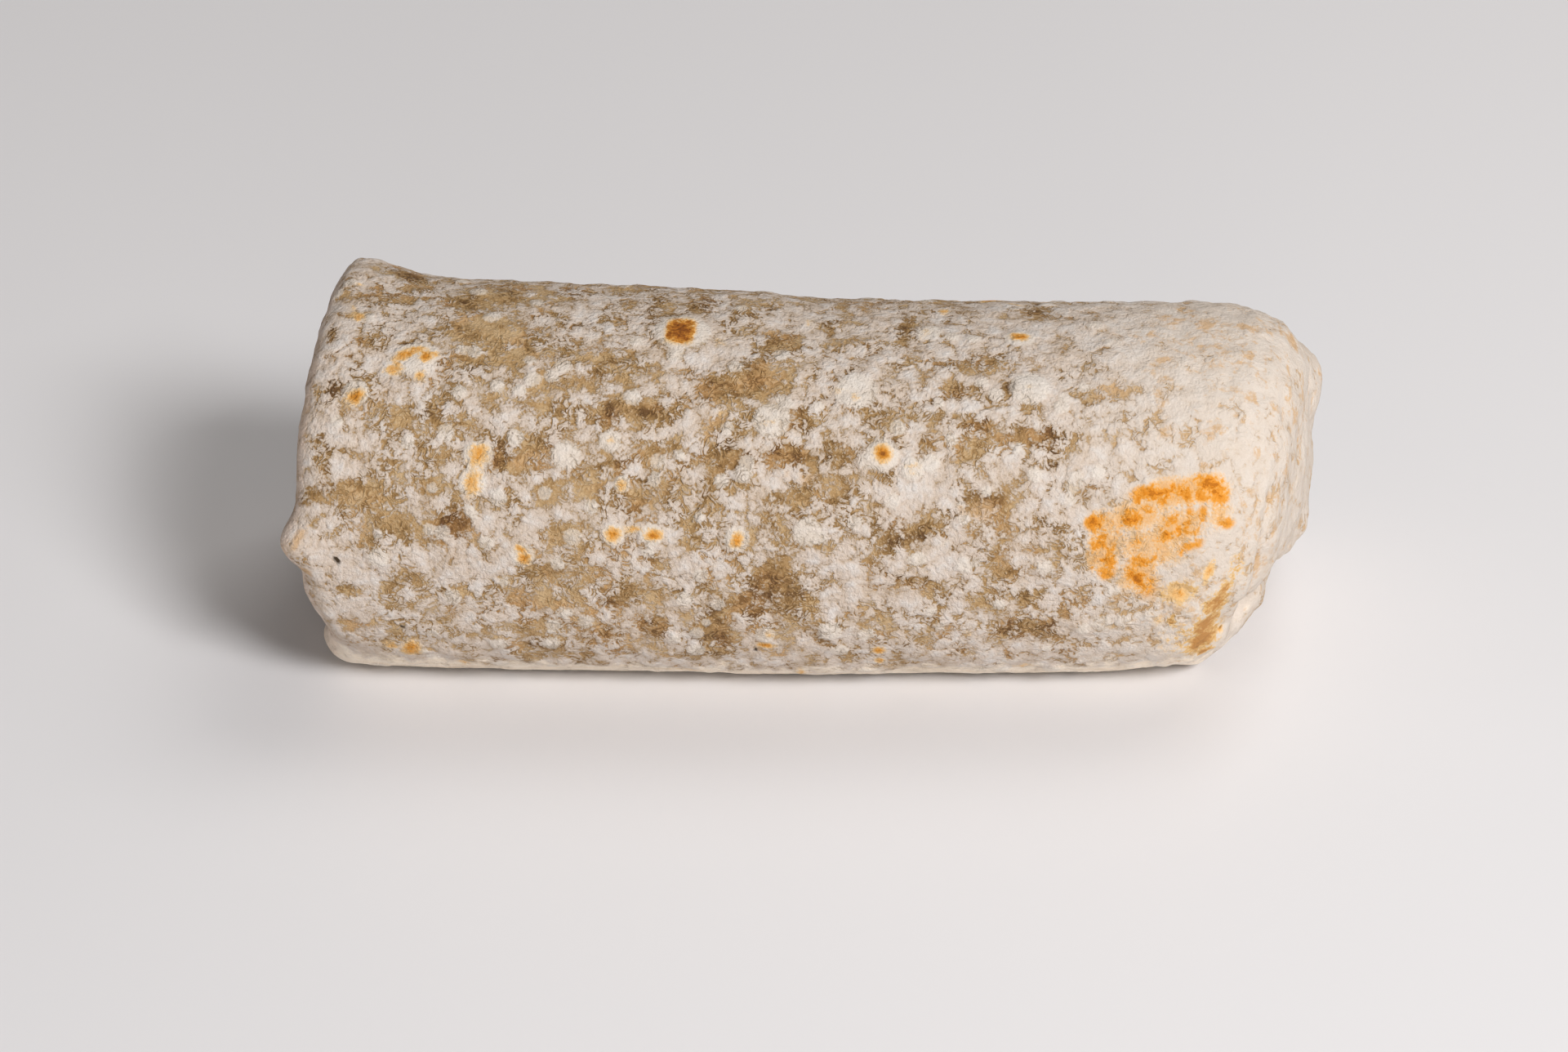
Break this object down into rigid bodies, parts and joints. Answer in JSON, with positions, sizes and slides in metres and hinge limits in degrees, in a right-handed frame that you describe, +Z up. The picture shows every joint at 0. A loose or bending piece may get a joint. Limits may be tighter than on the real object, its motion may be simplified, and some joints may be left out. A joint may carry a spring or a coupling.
{
  "type": "burrito",
  "caption": "Burrito rolled shut in one flour tortilla, whole and uncut, with tucked-in ends and a flat settled underside.",
  "frame": {"origin": "middle of the object's box, on the surface that it lies on", "axes": "+X along the roll, +Y towards its back, +Z up"},
  "size_m": [0.1702, 0.0662, 0.0583],
  "materials": {
    "tortilla": "matt floury skin of a griddled wheat tortilla, with see-through tan patches, pale blisters and orange-brown toasted spots"
  },
  "bodies": {
    "root": {"burrito": "tortilla"}
  },
  "joints": []
}
